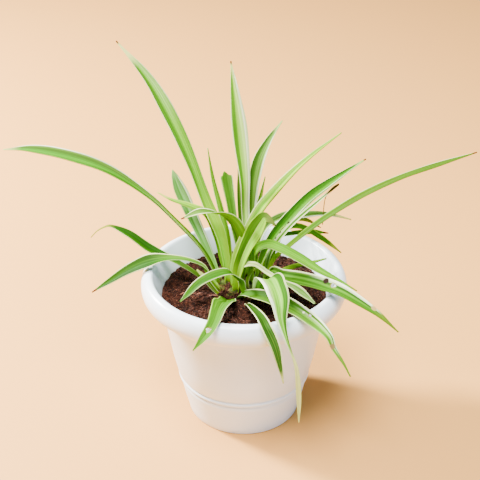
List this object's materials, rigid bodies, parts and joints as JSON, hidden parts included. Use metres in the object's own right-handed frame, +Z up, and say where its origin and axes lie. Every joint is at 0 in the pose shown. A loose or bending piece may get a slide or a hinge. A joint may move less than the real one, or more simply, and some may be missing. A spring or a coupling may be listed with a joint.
{
  "type": "potted spider plant",
  "caption": "White flared planter with a rolled rim, filled with soil, holding a striped spider plant with arching leaves.",
  "frame": {"origin": "centre of the planter's underside, on the surface it stands on", "axes": "+Z up through the planter's axis, -Y towards the picture's camera, +X to its right"},
  "size_m": [0.3749, 0.1888, 0.2954],
  "materials": {
    "pot": "satin white",
    "soil": "matt, crumbly potting soil",
    "rootstock": "matt, living plant base",
    "leaf": "satin, striped green and cream"
  },
  "bodies": {
    "root": {"pot": "pot", "soil": "soil", "rootstock": "rootstock", "leaf_front_short": "leaf", "leaf_front_dark": "leaf", "leaf_front_broad": "leaf", "leaf_front_right": "leaf", "leaf_front_arch": "leaf", "leaf_broad_folded": "leaf", "leaf_young_front": "leaf", "leaf_young_middle": "leaf", "leaf_thin_right": "leaf", "leaf_damaged_right": "leaf", "leaf_thin_arch": "leaf", "leaf_lime_arch": "leaf", "leaf_long_right": "leaf", "leaf_upper_right": "leaf", "leaf_hanging_tip": "leaf", "leaf_arch_left": "leaf", "leaf_broad_right": "leaf", "leaf_tall_left": "leaf", "leaf_far_left": "leaf", "leaf_broad_left": "leaf", "leaf_narrow_upright": "leaf", "leaf_tall_centre": "leaf", "leaf_dark_left": "leaf", "leaf_dark_right": "leaf", "leaf_back_left": "leaf", "leaf_cut_off": "leaf", "leaf_dark_centre": "leaf", "leaf_pale_back_right": "leaf", "leaf_small_upright": "leaf", "leaf_rim_right_upper": "leaf", "leaf_rim_right_lower": "leaf", "leaf_rim_right_short": "leaf", "leaf_thin_left": "leaf", "leaf_short_left": "leaf"}
  },
  "joints": []
}
